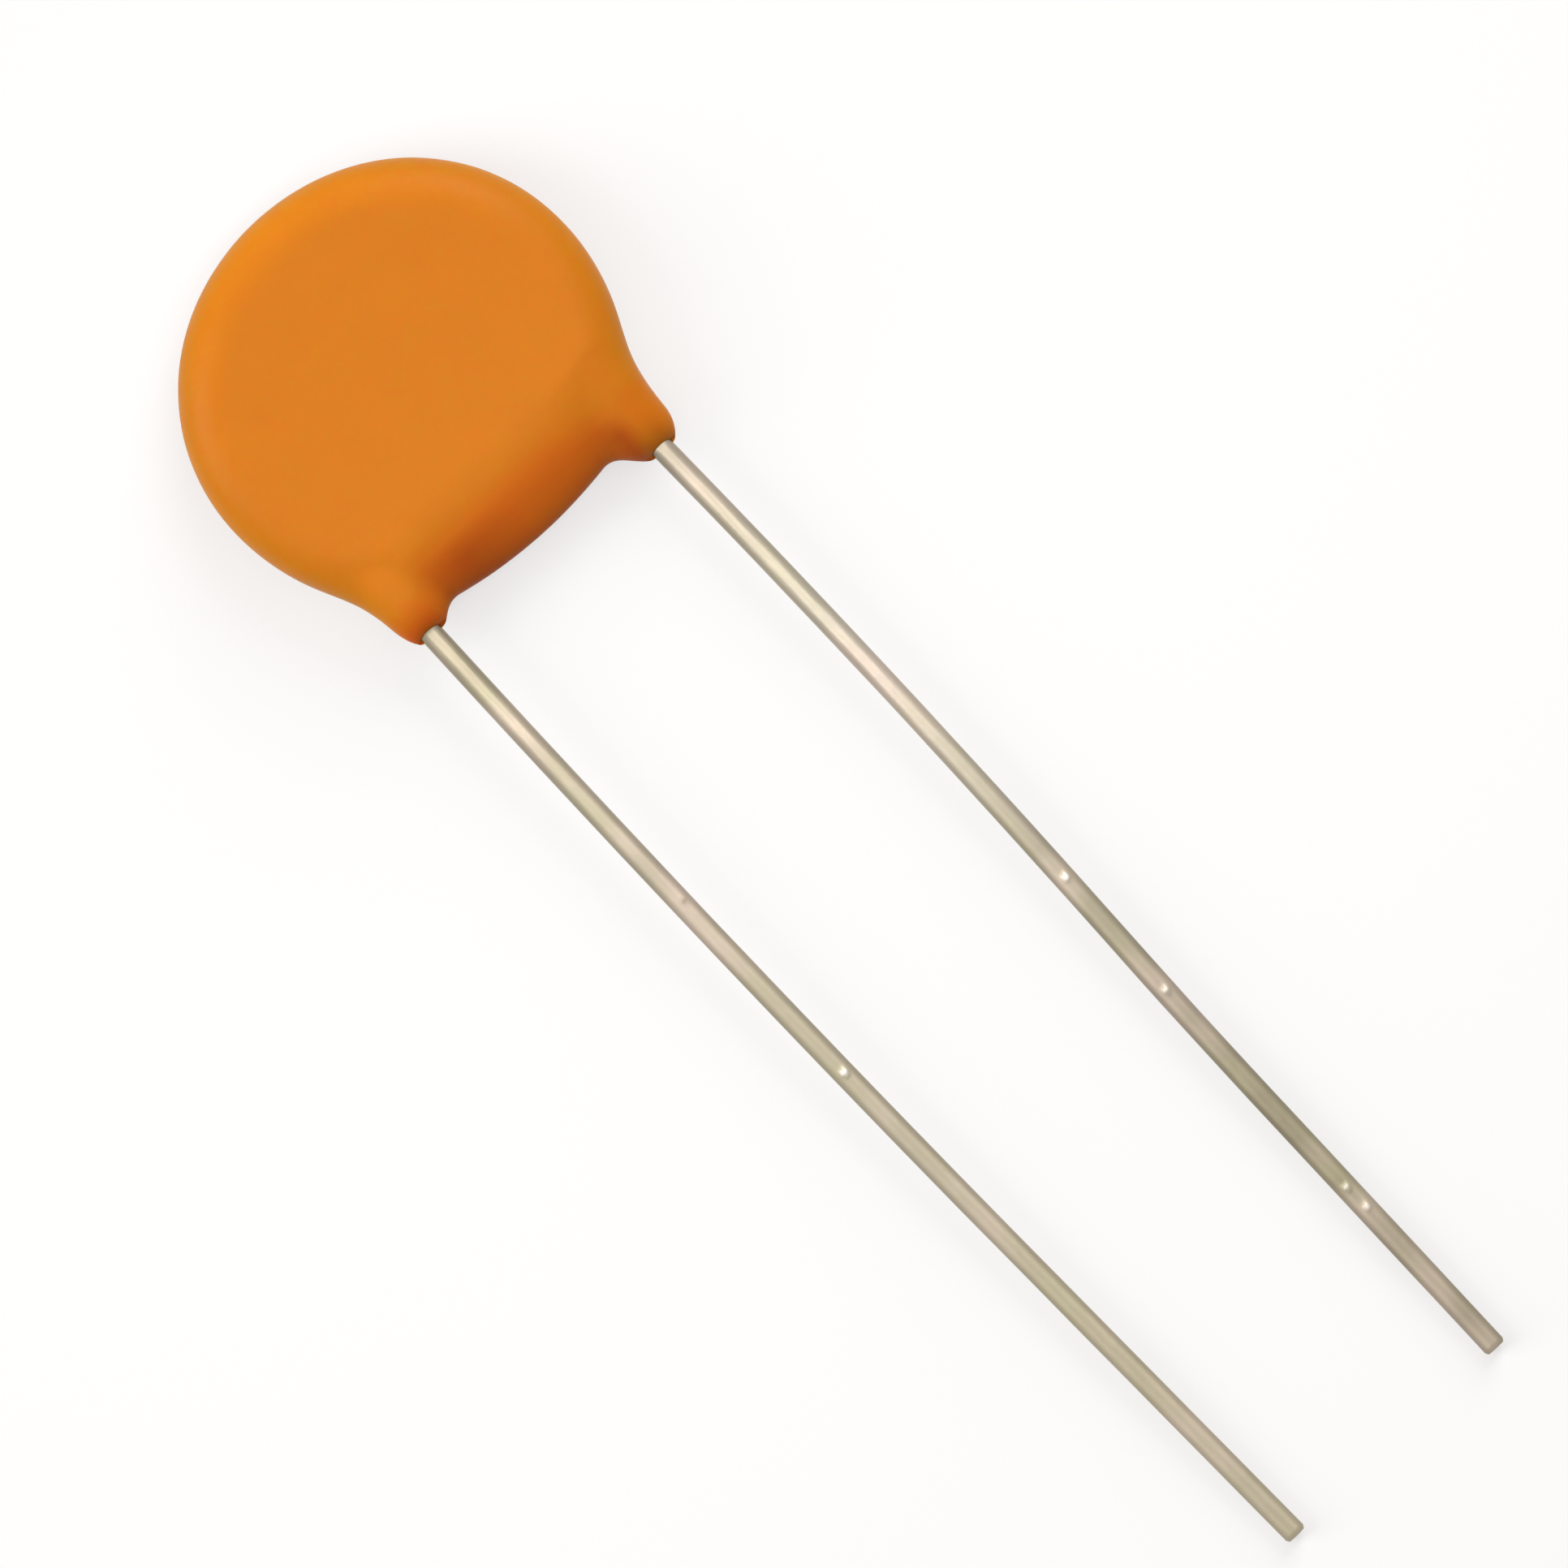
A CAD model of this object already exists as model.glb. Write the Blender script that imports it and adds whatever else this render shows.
import math

import bmesh
import bpy
import numpy as np
from mathutils import Matrix, Vector, noise


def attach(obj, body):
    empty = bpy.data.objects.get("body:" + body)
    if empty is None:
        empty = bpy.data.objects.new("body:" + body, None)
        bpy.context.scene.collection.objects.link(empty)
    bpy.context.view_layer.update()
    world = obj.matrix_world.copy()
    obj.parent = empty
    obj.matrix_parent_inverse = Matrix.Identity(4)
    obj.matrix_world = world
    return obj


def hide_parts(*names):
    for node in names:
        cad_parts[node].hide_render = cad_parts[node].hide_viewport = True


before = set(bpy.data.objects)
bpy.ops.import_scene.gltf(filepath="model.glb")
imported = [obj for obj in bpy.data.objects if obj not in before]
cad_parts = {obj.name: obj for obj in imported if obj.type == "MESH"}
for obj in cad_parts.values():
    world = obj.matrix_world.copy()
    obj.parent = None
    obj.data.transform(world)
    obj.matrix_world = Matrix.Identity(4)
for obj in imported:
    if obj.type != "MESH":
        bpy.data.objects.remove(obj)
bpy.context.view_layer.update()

# Ceramic disc capacitor lying on its rear face. Lengths are millimetres unless marked as
# metres, and named angles are degrees. Forms are made as in part.scad, with z = 0 in the
# middle plane of the disc, and to_world() puts each finished mesh into the frame's metres.

MM = 0.001
FRONT, REAR = -1, 1  # the two leads: seen from the front, the front one is on the left

# ---- sizes repeated from part.scad ----

DISC_D = 7.7
DISC_T = 0.5
ELECTRODE_T = 0.02

WIRE_D = 0.51
LEAD_PITCH = 6.27
LEAD_SHIFT = -0.085
LEAD_LEN = 26.5
EXIT_OFFSET = 0.15  # of each wire's exit from the middle plane
INNER_LEAN = 16  # of the soldered ends towards each other
INNER_LEN = 4.6
BEND_R = 0.8
BEND_GAP = 0.15
EXIT_STRAIGHT = 0.2  # straight wire inside each leg, above its end

# bows of the wires: length, distance down the wire, and shift there; shift of the tips
FRONT_BOW_LEN = 18
FRONT_BOW_AT = 9.7
FRONT_BOW_OUT = 0.12
FRONT_TIP_IN = 0.29
REAR_BOW_LEN = 12
REAR_BOW_AT = 7.2
REAR_BOW_OUT = 0.115
REAR_RESET_LEN = 4
REAR_RESET_AT = 16.9
REAR_RESET_IN = 0.125
REAR_TIP_IN = 0.165
BOW_ROOM = 0.4  # straight wire left beside each bow

SOLDER_FILM = 0.03

# the coating's body: rounded edge, flat faces, three lobes, and the web between the legs
COAT_EDGE = 0.95
COAT_FACE = 0.29
EDGE_W = 1.05
EDGE_POWER = 2.2
WEB_W = 2.2
WEB_POWER = 1.8
FACE_BLEND = 0.5
LOBE = 0.065
LOBE_AT = 30
WEB_COVER = 0.43
WEB_R = 11
WEB_SHIFT = 0.2
WEB_BLEND = 0.25

# the coating's legs
FRONT_RUN = 0.45
REAR_RUN = 0.93
FRONT_LEG_W = 1.02
REAR_LEG_W = 1.28
LEG_T = 1.2
NOSE_LEN = 0.8
LEG_ARCH = 0.12
LEG_LEN = 2.4
LEG_SINK = 0.1
CREST_BLEND = 0.2
LEG_BLEND = 0.6
BLEND_FADE = 4

THIN = 0.001  # least thickness and blend, so that nothing is divided by 0
LEAST_DOWN = 0.05  # least share of a direction that points down to the web, likewise

WIRE_R = WIRE_D / 2
DISC_R = DISC_D / 2
SILVER_Z = DISC_T / 2 + ELECTRODE_T
WIRE_Z = SILVER_Z + SOLDER_FILM + WIRE_R
HALF_T = WIRE_Z + WIRE_R + COAT_FACE
BODY_R = DISC_R + COAT_EDGE
WEB_Y = -(DISC_R + WEB_COVER)

# ---- how finely the meshes are cut ----

COARSE_STEP = 1.2  # degrees between sections along the round of the body
FINE_STEP = 0.4  # degrees between sections across a leg
LEG_MARGIN = 14  # degrees beyond a leg's nose and root that are finely cut
SECTION_POINTS = 96  # steps along a section from face to face
FACE_RINGS = 14  # rings of points on the flat of each face
LONGEST_RAY = 4
HALVINGS = 30  # of a ray, in the search for the surface
WIRE_STEP = 0.07  # about the length of a step along a wire
WIRE_SIDES = 40
BEND_STEP = 5  # greatest turn in a step along a bend
WELD = 1e-4  # points nearer than this become one


def side_of(side, front, rear):
    return front if side == FRONT else rear


def soft_min(a, b, k):
    """Like min(a, b), with a rounded corner of size k where the two are close."""
    near = np.maximum(k - np.abs(a - b), 0) / k
    return np.minimum(a, b) - near * near * k / 4


def mesh_from(name, points, faces):
    mesh = bpy.data.meshes.new(name)
    mesh.from_pydata([tuple(p) for p in points], [], faces)
    mesh.update()
    return mesh


# ---- where each wire leaves the coating, and where the coating's leg ends ----


def exit_x(side):
    return side * LEAD_PITCH / 2 + LEAD_SHIFT


def exit_z(side):
    return -side * EXIT_OFFSET


def leg_end_y(side):
    return -(DISC_R + side_of(side, FRONT_RUN, REAR_RUN))


def exit_y(side):
    return leg_end_y(side) + EXIT_STRAIGHT


# ---- form of the coating, on whole arrays of points ----
# Each field is below 0 inside its form and above 0 outside it.


def body_outline(angle):
    """Radius of the body in a direction: round with three lobes, cut off by the web."""
    turn = np.radians(angle)
    round_r = BODY_R + LOBE * np.cos(3 * (turn - math.radians(LOBE_AT)))
    centre = (WEB_SHIFT, WEB_Y + WEB_R)
    ahead = np.cos(turn) * centre[0] + np.sin(turn) * centre[1]
    reach = ahead + np.sqrt(ahead**2 - centre[0] ** 2 - centre[1] ** 2 + WEB_R**2)
    return soft_min(round_r, reach, WEB_BLEND)


def body_core(angle, outline):
    """Radius at which the flat of each face ends: alongside the outline, and straight
    across between the legs."""
    down = np.maximum(-np.sin(np.radians(angle)), LEAST_DOWN)
    return soft_min(outline - EDGE_W, (-WEB_Y - WEB_W) / down, FACE_BLEND)


def body_field(radius, z, core, outline):
    """The round body, whose edge is fuller where it is narrower."""
    width = outline - core
    sloped = np.clip((width - EDGE_W) / (WEB_W - EDGE_W), 0, 1)
    power = EDGE_POWER + (WEB_POWER - EDGE_POWER) * sloped
    out = np.maximum(radius - core, 0) / width
    up = np.abs(z) / HALF_T
    return HALF_T * ((out**power + up**power) ** (1 / power) - 1)


def nose(along):
    """Share of its full size that a leg has reached, at distances from its end."""
    left = np.maximum(1 - along / NOSE_LEN, 0)
    return np.sqrt(np.maximum(1 - left * left, 0))


def leg_field(side, x, y, z):
    """A leg, which narrows to its wire at the end and thickens towards the body."""
    leg_w = side_of(side, FRONT_LEG_W, REAR_LEG_W)
    along = y - leg_end_y(side)
    tip = along + NOSE_LEN * (1 - math.sqrt(1 - (WIRE_D / leg_w) ** 2))
    beyond = np.maximum(-tip, 0)
    across = x - exit_x(side)
    rise = z - exit_z(side)
    room = HALF_T - np.sign(rise) * exit_z(side) - LEG_SINK
    half_w = leg_w / 2 * nose(tip)
    thicker = (room - LEG_T / 2) * np.maximum(along, 0) / LEG_LEN
    half_h = soft_min(LEG_T / 2 * nose(along - LEG_ARCH) + thicker, room, CREST_BLEND)
    over = rise * half_w / np.maximum(half_h, THIN)
    faded = np.maximum(along - LEG_LEN, 0)
    return np.where(
        beyond > 0,
        np.sqrt(across**2 + rise**2 + beyond**2),
        np.sqrt(across**2 + over**2 + faded**2) - half_w,
    )


def coat_field(radius, z, angle, core, outline):
    """The body run together with the leg on the same side."""
    turn = np.radians(angle)
    x, y = radius * np.cos(turn), radius * np.sin(turn)
    body = body_field(radius, z, core, outline)
    leg = np.where(x < 0, leg_field(FRONT, x, y, z), leg_field(REAR, x, y, z))
    blend = np.maximum(LEG_BLEND * (1 - (np.abs(z) / HALF_T) ** BLEND_FADE), THIN)
    return np.where(y > 0, body, soft_min(body, leg, blend))


def surface_at(core, ray, angle, outline):
    """How far along each ray from a section's core the surface lies, by bisection."""
    low = np.zeros(np.broadcast(core, ray[0], angle).shape)
    high = low + LONGEST_RAY
    for _ in range(HALVINGS):
        middle = (low + high) / 2
        inside = coat_field(core + ray[0] * middle, ray[1] * middle, angle, core, outline) < 0
        low, high = np.where(inside, middle, low), np.where(inside, high, middle)
    return (low + high) / 2


def leg_angles(side):
    """The two directions between which a leg is finely cut."""
    nose_at = math.degrees(math.atan2(leg_end_y(side), exit_x(side))) + 360
    root_at = math.degrees(math.atan2(leg_end_y(side) + LEG_LEN, exit_x(side))) + 360
    return min(nose_at, root_at) - LEG_MARGIN, max(nose_at, root_at) + LEG_MARGIN


def section_angles():
    """Directions of the sections, once round: close across the legs, wider elsewhere."""
    left, right = leg_angles(FRONT), leg_angles(REAR)
    spans = [
        (*left, FINE_STEP),
        (left[1], right[0], COARSE_STEP),
        (*right, FINE_STEP),
        (right[1], left[0] + 360, COARSE_STEP),
    ]
    return np.concatenate(
        [np.linspace(a, b, math.ceil((b - a) / step), endpoint=False) for a, b, step in spans]
    )


def coat_rows():
    """Points of the coating's outside: one row a section, from near the middle of the rear
    face over the rim to near the middle of the front face."""
    angle = section_angles()[:, None]
    outline = body_outline(angle)
    core = body_core(angle, outline)
    rim = surface_at(core, (1, 0), angle, outline)
    share = np.linspace(-1, 1, SECTION_POINTS + 1)[None, 1:-1]
    turn = np.radians(90 * share)
    ray = (rim * np.cos(turn), HALF_T * np.sin(turn))
    far = surface_at(core, ray, angle, outline)
    radius, z = core + ray[0] * far, ray[1] * far
    inner = core * (np.arange(1, FACE_RINGS + 1) / FACE_RINGS)[None, :]
    flat = np.full(inner.shape, HALF_T)
    radius = np.hstack([inner, radius, inner[:, ::-1]])
    z = np.hstack([-flat, z, flat])
    turn = np.radians(angle)
    return np.stack([radius * np.cos(turn), radius * np.sin(turn), z], axis=2)


# the dipped surface is never quite even: low hollows, which leave the rear face flat
HOLLOW_DEPTH = 0.012
HOLLOW_SIZE = 1.7
HOLLOW_FADE = 0.8  # height above the rear face over which they start


def uneven(rows):
    """The coating's points, sunk a little inwards in low hollows."""
    points = rows.reshape(-1, 3)
    out = points.copy()
    out[:, 2] *= (EDGE_W / HALF_T) ** 2
    radius = np.hypot(points[:, 0], points[:, 1])
    core_r = np.maximum(radius - EDGE_W, 0)
    out[:, :2] -= points[:, :2] * (core_r / np.maximum(radius, 1))[:, None]
    out /= np.linalg.norm(out, axis=1)[:, None]
    wave = np.array([noise.noise(Vector(p) / HOLLOW_SIZE) for p in points])
    clear = np.clip((points[:, 2] + HALF_T) / HOLLOW_FADE, 0, 1)
    lower = np.minimum(wave, 0) * HOLLOW_DEPTH
    return (points + out * (lower * clear)[:, None]).reshape(rows.shape)


def coat_mesh():
    """The coating's outside as one closed mesh, whose middles are two added points."""
    rows = uneven(coat_rows())
    around, along = rows.shape[:2]
    points = np.vstack([rows.reshape(-1, 3), [[0, 0, -HALF_T], [0, 0, HALF_T]]])
    rear_centre, front_centre = around * along, around * along + 1
    faces = []
    for i in range(around):
        a, b = i * along, (i + 1) % around * along
        faces.append((rear_centre, b, a))
        faces.append((front_centre, a + along - 1, b + along - 1))
        faces += [(a + j, b + j, b + j + 1, a + j + 1) for j in range(along - 1)]
    return mesh_from("epoxy_coat", points, faces)


# ---- form of the wires ----


def free_point(side, down, inwards):
    """A point of a wire's centre line, down from its exit and shifted inwards. The wire
    sinks evenly from its exit to its tip, which lies on the floor."""
    y = exit_y(side) - down
    tip_y, tip_z = WEB_Y - LEAD_LEN, WIRE_R - HALF_T
    share = (y - exit_y(side)) / (tip_y - exit_y(side))
    return Vector((
        exit_x(side) - side * inwards,
        y,
        exit_z(side) + (tip_z - exit_z(side)) * share,
    ))


def wire_corners(side):
    """Corners of the wire's centre line and the bend radius at each of them."""
    lean = math.radians(INNER_LEAN)
    flank = abs(exit_x(side)) - WIRE_R
    bend_y = -math.sqrt(DISC_R**2 - flank**2) - BEND_GAP - BEND_R * math.tan(lean)
    edge_bend = Vector((exit_x(side), bend_y, -side * WIRE_Z))
    inner_end = edge_bend + INNER_LEN * Vector((-side * math.sin(lean), math.cos(lean), 0))
    down = exit_y(side) - (WEB_Y - LEAD_LEN)
    # each bow: distance down the wire, shift inwards, length, and free length above it
    if side == FRONT:
        bows = [(FRONT_BOW_AT, -FRONT_BOW_OUT, FRONT_BOW_LEN, FRONT_BOW_AT)]
        tip_in = FRONT_TIP_IN
    else:
        upper = min(REAR_BOW_LEN / 2, REAR_BOW_AT - BOW_ROOM)
        bows = [
            (REAR_BOW_AT, -REAR_BOW_OUT, REAR_BOW_LEN, REAR_BOW_AT),
            (REAR_RESET_AT, REAR_RESET_IN, REAR_RESET_LEN, REAR_RESET_AT - REAR_BOW_AT - upper),
        ]
        tip_in = REAR_TIP_IN
    corners = [inner_end, edge_bend, free_point(side, 0, 0)]
    corners += [free_point(side, at, inwards) for at, inwards, _, _ in bows]
    corners.append(free_point(side, down, tip_in))
    radii = [0, BEND_R, BEND_R]
    for i, (_, _, length, room) in enumerate(bows, start=len(radii)):
        turn = (corners[i] - corners[i - 1]).angle(corners[i + 1] - corners[i])
        radii.append(min(length / 2, room - BOW_ROOM) / math.tan(turn / 2))
    return corners, radii + [0]


def rounded_path(corners, radii):
    """The centre line with each corner rounded off, cut into short steps."""
    path = [corners[0].copy()]
    for i in range(1, len(corners)):
        before = (corners[i] - corners[i - 1]).normalized()
        turn, reach = 0, 0
        if radii[i]:
            after = (corners[i + 1] - corners[i]).normalized()
            turn = before.angle(after)
            reach = radii[i] * math.tan(turn / 2)
        start = path[-1]
        stop = corners[i] - before * reach
        count = max(1, round((stop - start).length / WIRE_STEP))
        path += [start.lerp(stop, (k + 1) / count) for k in range(count)]
        if not turn:
            continue
        inwards = (after - before * before.dot(after)).normalized()
        count = max(math.ceil(math.degrees(turn) / BEND_STEP), round(turn * radii[i] / WIRE_STEP))
        for k in range(1, count + 1):
            t = turn * k / count
            path.append(
                stop + before * radii[i] * math.sin(t) + inwards * radii[i] * (1 - math.cos(t))
            )
    return path


# spots in the tin, all but one of them bright beads: side, distance along -Y, offset
# across the wire, radius, height, and shine from 1, bright, to -1, dull
BEADS = [
    (FRONT, 12.0, 0.07, 0.085, 0.008, -0.7),
    (FRONT, 17.0, 0.02, 0.085, 0.035, 0.9),
    (REAR, 17.2, 0.03, 0.08, 0.035, 1.0),
    (REAR, 20.4, 0.02, 0.075, 0.035, 0.5),
    (REAR, 26.1, 0.0, 0.07, 0.035, 0.5),
    (REAR, 26.7, 0.03, 0.075, 0.035, 0.6),
]
BEAD_REACH = 3  # radii beyond which a spot isn't felt
TIN_WAVE = 0.006  # depth of the hollows in the tinned surface
TIN_WAVE_SIZE = (0.35, 2.2, 0.35)  # along X, Y and Z
TIN_FADE = 0.6  # length over which they start, beyond the coating
CUT_BEVEL = 0.04


def bead_at(side, y, across):
    """Height and shine of the spots, at a place on the front of a wire."""
    height, shine = 0, 0
    for where, down, offset, size, high, bright in BEADS:
        if where == side and abs(y + down) < BEAD_REACH * size:
            off = math.hypot(y + down, across - offset) / size
            height += high * math.exp(-(off**4))
            shine += bright * math.exp(-(off**2) * 2)
    return height, shine


def lead_mesh(side):
    """A whole wire with its tinned surface, cut square at the tip. The shine of its spots
    goes to the material as a value at each point."""
    path = rounded_path(*wire_corners(side))
    points, shines = [], []
    x_way = Vector((0, 0, 1)).cross(path[1] - path[0]).normalized()
    for i, centre in enumerate(path):
        way = (path[min(i + 1, len(path) - 1)] - path[max(i - 1, 0)]).normalized()
        x_way = (x_way - way * way.dot(x_way)).normalized()
        y_way = way.cross(x_way)
        free = min(max((leg_end_y(side) - centre.y) / TIN_FADE, 0), 1)
        bevel = CUT_BEVEL if i == len(path) - 1 else 0
        for k in range(WIRE_SIDES):
            turn = 2 * math.pi * k / WIRE_SIDES
            out = x_way * math.cos(turn) + y_way * math.sin(turn)
            surface = centre + out * WIRE_R
            place = Vector(c / s for c, s in zip(surface, TIN_WAVE_SIZE)) + Vector((0, 0, side))
            lift = free * TIN_WAVE * min(noise.noise(place), 0)
            bead, shine = 0, 0
            if out.z > 0:
                bead, shine = bead_at(side, centre.y, surface.x - centre.x)
            points.append(centre + out * (WIRE_R + lift + bead - bevel))
            shines.append(shine)
    faces = []
    rings = len(path)
    for i in range(rings - 1):
        for k in range(WIRE_SIDES):
            a, b = i * WIRE_SIDES + k, i * WIRE_SIDES + (k + 1) % WIRE_SIDES
            faces.append((a, b, b + WIRE_SIDES, a + WIRE_SIDES))
    faces.append(tuple(reversed(range(WIRE_SIDES))))
    faces.append(tuple((rings - 1) * WIRE_SIDES + k for k in range(WIRE_SIDES)))
    mesh = mesh_from("tinned_lead", points, faces)
    mesh.attributes.new("shine", "FLOAT", "POINT").data.foreach_set("value", shines)
    return mesh


# ---- from meshes to pieces ----


def to_world(mesh):
    mesh.transform(Matrix.Scale(MM, 4) @ Matrix.Translation((0, 0, HALF_T)))


def welded_copy(node):
    """A closed copy of a CAD node's mesh, back in millimetres about the middle plane."""
    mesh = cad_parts[node].data.copy()
    mesh.transform(Matrix.Translation((0, 0, -HALF_T)) @ Matrix.Scale(1 / MM, 4))
    form = bmesh.new()
    form.from_mesh(mesh)
    bmesh.ops.remove_doubles(form, verts=form.verts, dist=WELD)
    form.to_mesh(mesh)
    form.free()
    return mesh


TOUCH = 0.002  # within this, two surfaces lie on each other
LET_IN = 0.008


def solder_cutter(node, side):
    """The space of a piece of solder, let into the silver under it and the wire in it, so
    that no film of coating stays between them."""
    mesh = welded_copy(node)
    wire_end, bend = wire_corners(side)[0][:2]
    way = (bend - wire_end).normalized()
    for vert in mesh.vertices:
        off_axis = vert.co - wire_end
        off_axis -= way * off_axis.dot(way)
        if abs(vert.co.z) < SILVER_Z + TOUCH:
            vert.co.z += side * LET_IN
        elif off_axis.length < WIRE_R + TOUCH:
            vert.co += (way - off_axis.normalized()) * LET_IN
    return mesh


def cut_out(mesh, cutters):
    """The mesh with the cutters' space taken out of it."""
    body = bpy.data.objects.new("cut_body", mesh)
    bpy.context.scene.collection.objects.link(body)
    tools = []
    for cutter in cutters:
        tool = bpy.data.objects.new("cut_tool", cutter)
        bpy.context.scene.collection.objects.link(tool)
        tools.append(tool)
        step = body.modifiers.new("cut", "BOOLEAN")
        step.operation = "DIFFERENCE"
        step.solver = "MANIFOLD"
        step.object = tool
    bpy.context.view_layer.update()
    graph = bpy.context.evaluated_depsgraph_get()
    result = bpy.data.meshes.new_from_object(body.evaluated_get(graph), depsgraph=graph)
    for obj in [body, *tools]:
        bpy.data.objects.remove(obj)
    form = bmesh.new()
    form.from_mesh(result)
    bmesh.ops.dissolve_degenerate(form, edges=form.edges, dist=WELD)
    form.to_mesh(result)
    form.free()
    return result


COAT_SHARP = 40  # edges that turn by more than this stay sharp
WIRE_SHARP = 50


def add_piece(name, mesh, material, node, sharp):
    """A piece that stands for a CAD node."""
    to_world(mesh)
    mesh.name = name
    mesh.materials.clear()
    mesh.materials.append(material)
    mesh.shade_smooth()
    mesh.set_sharp_from_angle(angle=math.radians(sharp))
    piece = bpy.data.objects.new(name, mesh)
    bpy.context.scene.collection.objects.link(piece)
    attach(piece, "root")
    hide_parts(node)


# ---- materials ----


def in_use(sockets, name):
    """The socket of that name that a Mix node's kind of data uses."""
    return next(s for s in sockets if s.name == name and s.enabled)


class Nodes:
    """Short hand for building a material's nodes, in millimetres of the object."""

    def __init__(self, name):
        self.material = bpy.data.materials.new(name)
        self.material.use_nodes = True
        self.tree = self.material.node_tree
        self.shader = self.tree.nodes["Principled BSDF"]
        coords = self.tree.nodes.new("ShaderNodeTexCoord")
        self.place = coords.outputs["Object"]

    def add(self, kind, **settings):
        node = self.tree.nodes.new(kind)
        for key, value in settings.items():
            setattr(node, key, value)
        return node

    def link(self, a, b):
        self.tree.links.new(a, b)

    def noise(self, size, detail=2.0, rough=0.5, stretch=(1, 1, 1)):
        """Noise whose blotches are about `size` millimetres across."""
        scale = self.add("ShaderNodeMapping")
        scale.inputs["Scale"].default_value = [1 / (MM * size * s) for s in stretch]
        self.link(self.place, scale.inputs["Vector"])
        tex = self.add("ShaderNodeTexNoise")
        tex.inputs["Scale"].default_value = 1
        tex.inputs["Detail"].default_value = detail
        tex.inputs["Roughness"].default_value = rough
        self.link(scale.outputs["Vector"], tex.inputs["Vector"])
        return tex.outputs["Fac"]

    def along(self, axis, start, stop):
        """0 to 1 from one place on an axis of the object to another."""
        parts = self.add("ShaderNodeSeparateXYZ")
        self.link(self.place, parts.inputs["Vector"])
        return self.spread(parts.outputs[axis], 0, 1, start * MM, stop * MM)

    def product(self, first, *others):
        for other in others:
            node = self.add("ShaderNodeMath", operation="MULTIPLY")
            self.link(first, node.inputs[0])
            self.link(other, node.inputs[1])
            first = node.outputs[0]
        return first

    def ramp(self, value, *stops):
        """A colour from stops, each a value and its colour."""
        node = self.add("ShaderNodeValToRGB")
        ends = node.color_ramp.elements
        while len(ends) < len(stops):
            ends.new(0.5)
        for end, (at, colour) in zip(ends, stops):
            end.position = at
            end.color = (*colour, 1)
        self.link(value, node.inputs["Fac"])
        return node.outputs["Color"]

    def spread(self, value, low, high, start=0.3, stop=0.7):
        """`low` to `high` while the value goes from `start` to `stop`."""
        node = self.add("ShaderNodeMapRange", clamp=True)
        for key, number in zip(
            ("From Min", "From Max", "To Min", "To Max"), (start, stop, low, high)
        ):
            node.inputs[key].default_value = number
        self.link(value, node.inputs["Value"])
        return node.outputs["Result"]

    def between(self, share, a, b):
        """The value a where the share is 0, b where it is 1."""
        node = self.add("ShaderNodeMix", data_type="FLOAT")
        for key, value in (("Factor", share), ("A", a), ("B", b)):
            self.link(value, in_use(node.inputs, key))
        return in_use(node.outputs, "Result")

    def toned(self, colour, share, tone):
        """The colour where the share is 0, the tone where it is 1."""
        node = self.add("ShaderNodeMix", data_type="RGBA")
        self.link(share, in_use(node.inputs, "Factor"))
        self.link(colour, in_use(node.inputs, "A"))
        in_use(node.inputs, "B").default_value = (*tone, 1)
        return in_use(node.outputs, "Result")

    def bump(self, height, depth, normal=None):
        """Bump of a height from 0 to 1, `depth` millimetres deep."""
        node = self.add("ShaderNodeBump")
        node.inputs["Strength"].default_value = 1
        node.inputs["Distance"].default_value = depth * MM
        self.link(height, node.inputs["Height"])
        if normal:
            self.link(normal, node.inputs["Normal"])
        return node.outputs["Normal"]

    def use(self, **sockets):
        """Set the shader's sockets, each to a number, a colour or another node's output."""
        for key, value in sockets.items():
            socket = self.shader.inputs[key.replace("_", " ")]
            if isinstance(value, bpy.types.NodeSocket):
                self.link(value, socket)
            else:
                socket.default_value = value
        return self.material


RESIN_SHADES = (0.715, 0.235, 0.003), (0.735, 0.245, 0.004)
RESIN_GRAIN = (0.78, 0.28, 0.03)

# places where the resin is paler or deeper in colour: tone, and the fades along an axis
# (0 at the first place, full at the second) that mark the place
RESIN_TONES = [
    # paler over the root of the left leg
    (
        (0.82, 0.276, 0.008),
        ("X", -4.0, -3.4), ("X", -1.8, -2.6), ("Y", -2.0, -2.5), ("Y", -3.4, -2.7),
    ),
    # deeper at the ends of the legs
    ((0.72, 0.14, 0.001), ("X", -2.3, -2.9), ("Y", -3.3, -4.0)),
    ((0.715, 0.205, 0.002), ("X", 2.6, 3.2), ("Y", -3.0, -3.4)),
    # deeper on the slope between the legs, and more so at its rim
    ((0.73, 0.18, 0.002), ("X", -2.9, -2.3), ("X", 2.6, 1.2), ("Y", -2.6, -3.2)),
    ((0.69, 0.16, 0.002), ("X", -2.9, -2.3), ("X", 2.9, 2.3), ("Y", -3.0, -3.5)),
    # deepest beside the left leg, and on the flank of the right one
    ((0.565, 0.11, 0.001), ("X", -2.6, -1.7), ("X", 0, -1.5), ("Y", -3.0, -3.5)),
    ((0.54, 0.11, 0.001), ("X", 2.0, 2.5), ("X", 3.0, 2.6), ("Y", -3.4, -3.9)),
]


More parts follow.
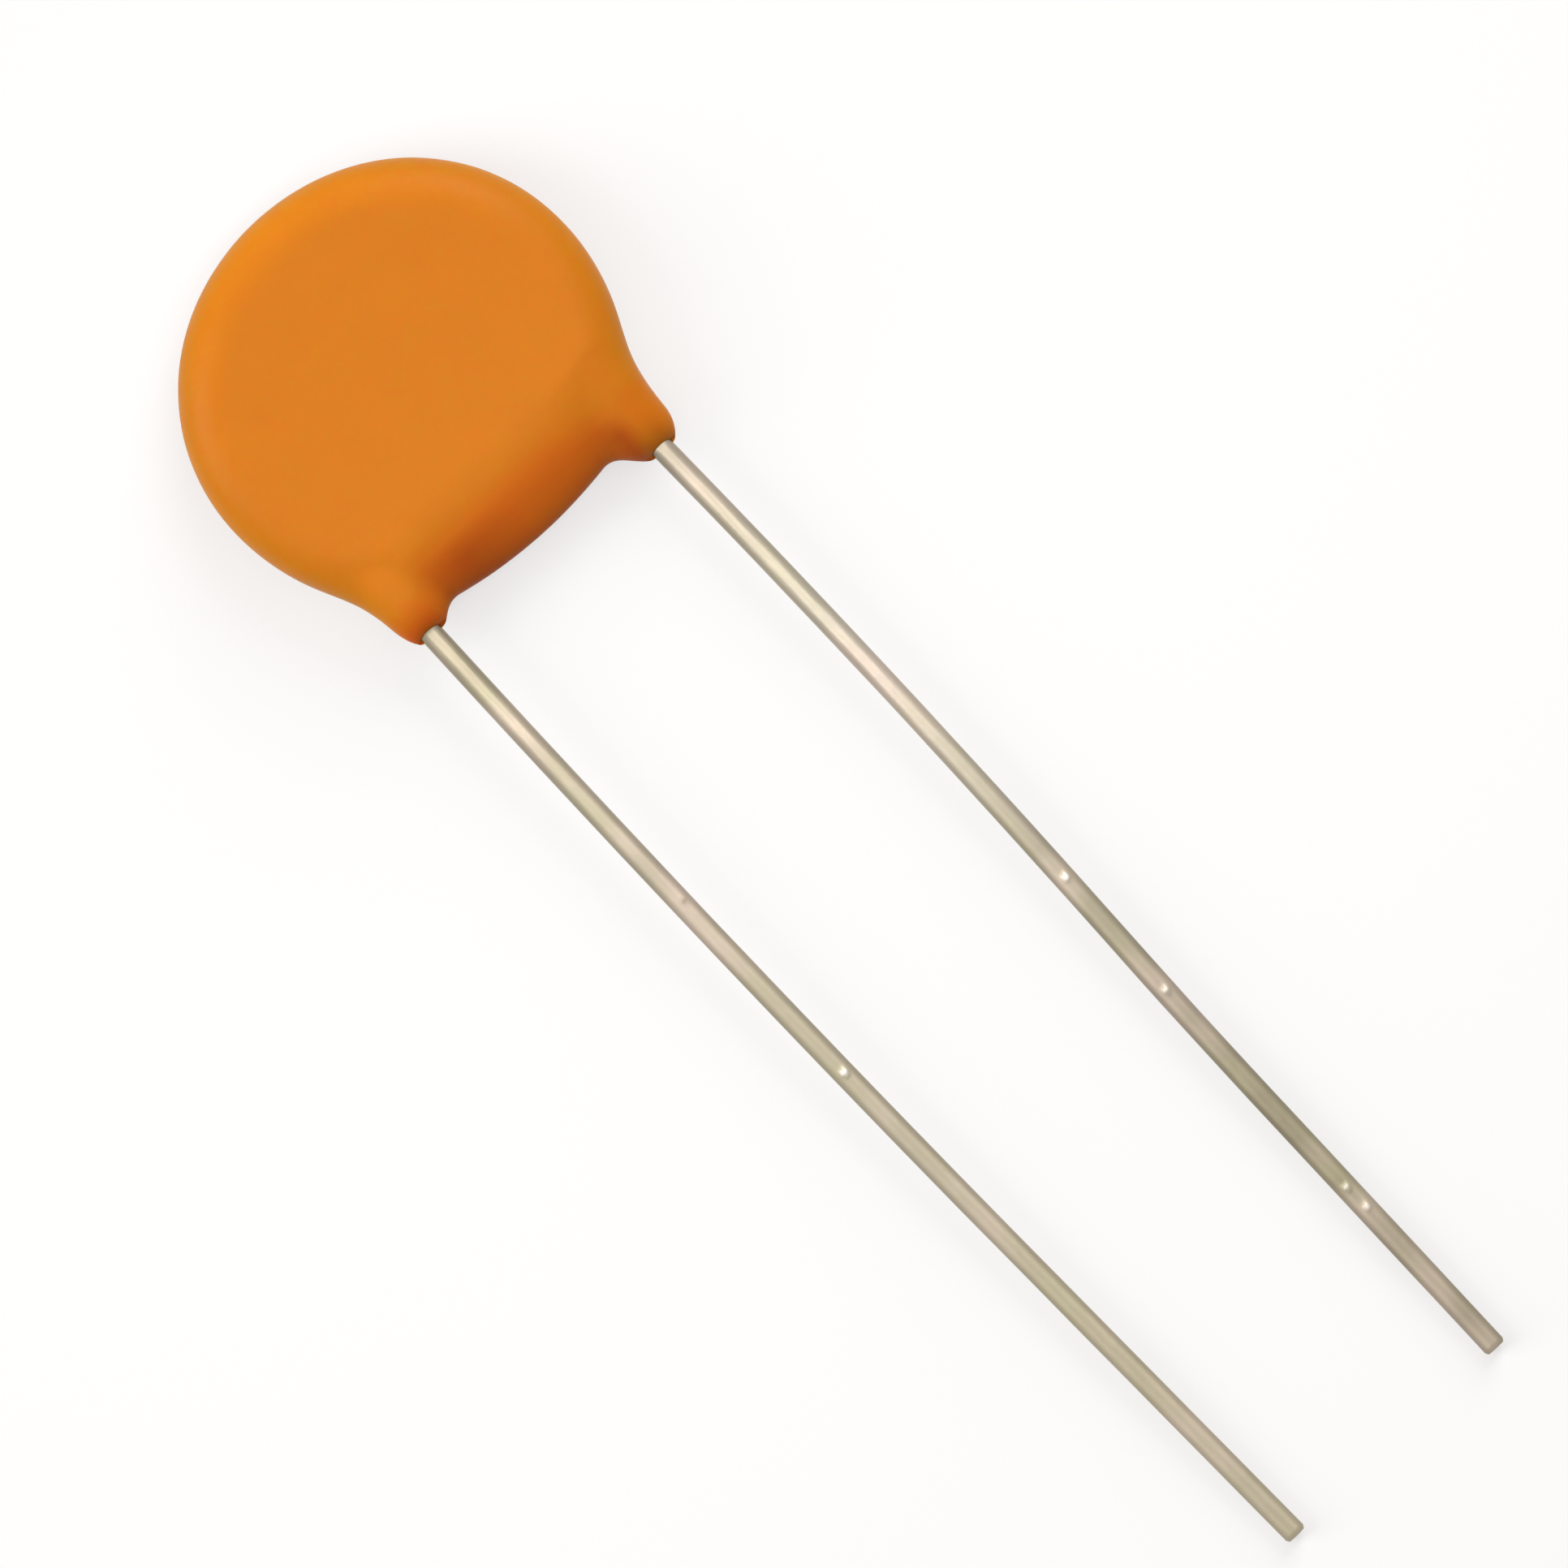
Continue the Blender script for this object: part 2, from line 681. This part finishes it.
def coating_material():
    n = Nodes("dipped_epoxy")
    mottle = n.noise(1.3, detail=3, rough=0.55)
    grain = n.noise(0.16, detail=2)
    colour = n.ramp(mottle, *zip((0.3, 0.7), RESIN_SHADES))
    colour = n.toned(colour, n.spread(grain, 0.0, 0.04), RESIN_GRAIN)
    for tone, *fades in RESIN_TONES:
        colour = n.toned(colour, n.product(*(n.along(*fade) for fade in fades)), tone)
    normal = n.bump(n.noise(0.55, detail=2), 0.010)
    normal = n.bump(n.noise(0.09, detail=1), 0.0012, normal)
    return n.use(
        Base_Color=colour,
        Roughness=n.spread(mottle, 0.40, 0.50),
        IOR=1.5,
        Specular_IOR_Level=0.1,
        Subsurface_Weight=1.0,
        Subsurface_Radius=(1.3, 0.25, 0.05),
        Subsurface_Scale=0.15 * MM,
        Normal=normal,
    )


# tone of the tin along each wire: distance from the disc's centre, colour
TIN_TONES = {
    FRONT: [
        (4.5, (0.285, 0.24, 0.175)),
        (9, (0.32, 0.275, 0.21)),
        (12, (0.32, 0.275, 0.21)),
        (18, (0.34, 0.295, 0.225)),
        (25, (0.37, 0.32, 0.235)),
    ],
    REAR: [
        (4.5, (0.30, 0.255, 0.195)),
        (9, (0.385, 0.34, 0.275)),
        (12.5, (0.435, 0.38, 0.315)),
        (17, (0.275, 0.24, 0.18)),
        (24, (0.225, 0.195, 0.135)),
    ],
}
TONES_END = 32  # distance at the end of that scale, beyond the tips
DULLING = {FRONT: (7, 12), REAR: (11, 17)}  # the tin grows duller between these distances
TIN_OLIVE = (0.34, 0.31, 0.20)
TIN_BLUSH = (0.48, 0.38, 0.325)
BEAD_BRIGHT = (0.93, 0.88, 0.81)
BEAD_DULL = (0.17, 0.135, 0.085)


def lead_material(name, side):
    n = Nodes(name)
    stops = [(at / TONES_END, tone) for at, tone in TIN_TONES[side]]
    colour = n.ramp(n.along("Y", 0, -TONES_END), *stops)
    tint = n.noise(0.9, detail=3, stretch=(1, 2.2, 1))
    colour = n.toned(colour, n.spread(tint, 0.0, 0.55), TIN_OLIVE)
    blush = n.noise(1.4, detail=1, stretch=(1, 1.5, 1))
    colour = n.toned(colour, n.spread(blush, 0.0, 0.45, 0.45, 0.65), TIN_BLUSH)
    shine = n.add("ShaderNodeAttribute", attribute_name="shine").outputs["Fac"]
    colour = n.toned(colour, n.spread(shine, 0, 1, 0, 1), BEAD_BRIGHT)
    colour = n.toned(colour, n.spread(shine, 0, 1, 0, -1), BEAD_DULL)
    streak = n.noise(0.05, detail=2, stretch=(1, 22, 1))
    bright_to, dull_from = DULLING[side]
    bright, dull = n.spread(streak, 0.30, 0.38), n.spread(streak, 0.42, 0.50)
    rough = n.between(n.along("Y", -bright_to, -dull_from), bright, dull)
    normal = n.bump(streak, 0.0025)
    normal = n.bump(n.noise(0.22, detail=2, stretch=(1, 1.6, 1)), 0.004, normal)
    return n.use(Base_Color=colour, Metallic=1.0, Roughness=rough, Normal=normal)


GRAINS_ACROSS = 6  # grains across a blotch
ROUGH_SPREAD = 0.06


def node_material(name, dark, light, size, rough, metallic, depth):
    """Fired or cast surface: two shades in blotches, and a fine grain."""
    n = Nodes(name)
    blotch = n.noise(size, detail=3)
    grain = n.noise(size / GRAINS_ACROSS, detail=2)
    return n.use(
        Base_Color=n.ramp(blotch, (0.35, dark), (0.65, light)),
        Metallic=metallic,
        Roughness=n.spread(grain, rough - ROUGH_SPREAD, rough + ROUGH_SPREAD),
        Normal=n.bump(grain, depth),
    )


SILVER_SHADES = (0.60, 0.60, 0.57), (0.70, 0.70, 0.68)
SOLDER_SHADES = (0.48, 0.49, 0.50), (0.62, 0.63, 0.64)

# the CAD nodes that are kept: material's name, dark and light shade, size of the blotches,
# roughness, metallic or not, depth of the grain
INNER_NODES = {
    "ceramic_disc": ("fired_ceramic", (0.56, 0.44, 0.28), (0.64, 0.52, 0.35), 0.8, 0.7, 0.0, 0.004),
    "front_electrode": ("fired_silver_front", *SILVER_SHADES, 0.5, 0.5, 1.0, 0.002),
    "rear_electrode": ("fired_silver_rear", *SILVER_SHADES, 0.5, 0.5, 1.0, 0.002),
    "front_solder": ("solder_front", *SOLDER_SHADES, 0.4, 0.32, 1.0, 0.004),
    "rear_solder": ("solder_rear", *SOLDER_SHADES, 0.4, 0.32, 1.0, 0.004),
}

# ---- making ----

leads = {side: lead_mesh(side) for side in (FRONT, REAR)}
cutters = [welded_copy(node) for node in ("ceramic_disc", "front_electrode", "rear_electrode")]
cutters += [solder_cutter("front_solder", FRONT), solder_cutter("rear_solder", REAR)]
cutters += [leads[side].copy() for side in (FRONT, REAR)]
coat = cut_out(coat_mesh(), cutters)

add_piece("epoxy_coat", coat, coating_material(), "epoxy_coating", COAT_SHARP)
for side, end in ((FRONT, "front"), (REAR, "rear")):
    wire = lead_material(f"tinned_wire_{end}", side)
    add_piece(f"tinned_lead_{end}", leads[side], wire, f"{end}_lead", WIRE_SHARP)

for node, look in INNER_NODES.items():
    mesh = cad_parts[node].data
    mesh.materials.clear()
    mesh.materials.append(node_material(*look))

# ---- floor, light and camera ----

WHITE = (1, 1, 1, 1)
FLOOR_HALF = 2.0  # metres
FLOOR_GLOW = 0.65  # share of the floor's white that its shadow can't darken


def seen_directly(tree):
    """1 for camera, mirror and glass rays, which see the white background itself."""
    path = tree.nodes.new("ShaderNodeLightPath")
    total = path.outputs["Is Camera Ray"]
    for key in ("Is Glossy Ray", "Is Transmission Ray"):
        either = tree.nodes.new("ShaderNodeMath")
        either.operation = "MAXIMUM"
        tree.links.new(total, either.inputs[0])
        tree.links.new(path.outputs[key], either.inputs[1])
        total = either.outputs[0]
    return total


def floor_material():
    """White, of which a part glows for the rays that see it directly."""
    material = bpy.data.materials.new("white_floor")
    material.use_nodes = True
    tree = material.node_tree
    tree.nodes.clear()
    paint = tree.nodes.new("ShaderNodeBsdfDiffuse")
    paint.inputs["Color"].default_value = (1 - FLOOR_GLOW,) * 3 + (1,)
    glow = tree.nodes.new("ShaderNodeEmission")
    glow.inputs["Color"].default_value = WHITE
    share = tree.nodes.new("ShaderNodeMath")
    share.operation = "MULTIPLY"
    share.inputs[1].default_value = FLOOR_GLOW
    tree.links.new(seen_directly(tree), share.inputs[0])
    tree.links.new(share.outputs[0], glow.inputs["Strength"])
    both = tree.nodes.new("ShaderNodeAddShader")
    tree.links.new(paint.outputs[0], both.inputs[0])
    tree.links.new(glow.outputs[0], both.inputs[1])
    out = tree.nodes.new("ShaderNodeOutputMaterial")
    tree.links.new(both.outputs[0], out.inputs["Surface"])
    return material


def add_floor():
    corners = ((-1, -1), (1, -1), (1, 1), (-1, 1))
    points = [(x * FLOOR_HALF, y * FLOOR_HALF, 0) for x, y in corners]
    mesh = mesh_from("floor", points, [(0, 1, 2, 3)])
    mesh.materials.append(floor_material())
    floor = bpy.data.objects.new("floor", mesh)
    bpy.context.scene.collection.objects.link(floor)


SKY = 0.14  # level of the even light from all round
SKY_TINT = (1.0, 0.8, 0.6, 1)  # its warmth, as of a room


def add_world():
    """Even warm light, and a white background for the rays that see it directly."""
    world = bpy.data.worlds.new("studio")
    bpy.context.scene.world = world
    world.use_nodes = True
    tree = world.node_tree
    background = tree.nodes["Background"]
    direct = seen_directly(tree)
    tint = tree.nodes.new("ShaderNodeMix")
    tint.data_type = "RGBA"
    in_use(tint.inputs, "A").default_value = SKY_TINT
    in_use(tint.inputs, "B").default_value = WHITE
    tree.links.new(direct, in_use(tint.inputs, "Factor"))
    tree.links.new(in_use(tint.outputs, "Result"), background.inputs["Color"])
    level = tree.nodes.new("ShaderNodeMapRange")
    level.inputs["To Min"].default_value = SKY
    level.inputs["To Max"].default_value = 1
    tree.links.new(direct, level.inputs["Value"])
    tree.links.new(level.outputs["Result"], background.inputs["Strength"])


# name, point of the floor aimed at, azimuth, tilt off the vertical, then in metres the
# distance, width and height, and last the radiance, of which 1 all round makes white
SOFTBOXES = [
    ("left", (0, -5), 149, 60, 0.6, 0.36, 0.50, 4.15),
    ("right", (0, -5), 34, 60, 0.6, 0.36, 0.50, 4.4),
    ("overhead", (0.5, -8), 90, 2, 0.055, 0.100, 0.016, 2.9),
]


def add_softbox(name, aim, azimuth, tilt, distance, width, height, radiance):
    a, t = math.radians(azimuth), math.radians(tilt)
    away = Vector((math.cos(a) * math.sin(t), math.sin(a) * math.sin(t), math.cos(t)))
    lamp = bpy.data.lights.new(name, "AREA")
    lamp.shape = "RECTANGLE"
    lamp.size = width
    lamp.size_y = height
    lamp.energy = radiance * math.pi * width * height
    obj = bpy.data.objects.new(name, lamp)
    obj.location = Vector((*aim, 0)) * MM + away * distance
    obj.rotation_euler = away.to_track_quat("Z", "Y").to_euler()
    obj.visible_camera = False
    bpy.context.scene.collection.objects.link(obj)


VIEW_X, VIEW_Y, VIEW_W = 0.052, -11.664, 33.31  # middle and width of the picture
VIEW_ROLL = -43.2
CAMERA_HEIGHT = 500
SENSOR = 36
CLIP_NEAR, CLIP_FAR = 0.01, 10  # metres


def add_camera():
    """Looks straight down. The picture's width is measured in the disc's middle plane."""
    cam = bpy.data.cameras.new("camera")
    cam.sensor_width = SENSOR
    cam.lens = SENSOR * (CAMERA_HEIGHT - HALF_T) / VIEW_W
    cam.clip_start = CLIP_NEAR
    cam.clip_end = CLIP_FAR
    obj = bpy.data.objects.new("camera", cam)
    obj.location = Vector((VIEW_X, VIEW_Y, CAMERA_HEIGHT)) * MM
    obj.rotation_euler = (0, 0, math.radians(VIEW_ROLL))
    bpy.context.scene.collection.objects.link(obj)
    bpy.context.scene.camera = obj


add_floor()
add_world()
for softbox in SOFTBOXES:
    add_softbox(*softbox)
add_camera()
bpy.context.scene.view_settings.view_transform = "Standard"
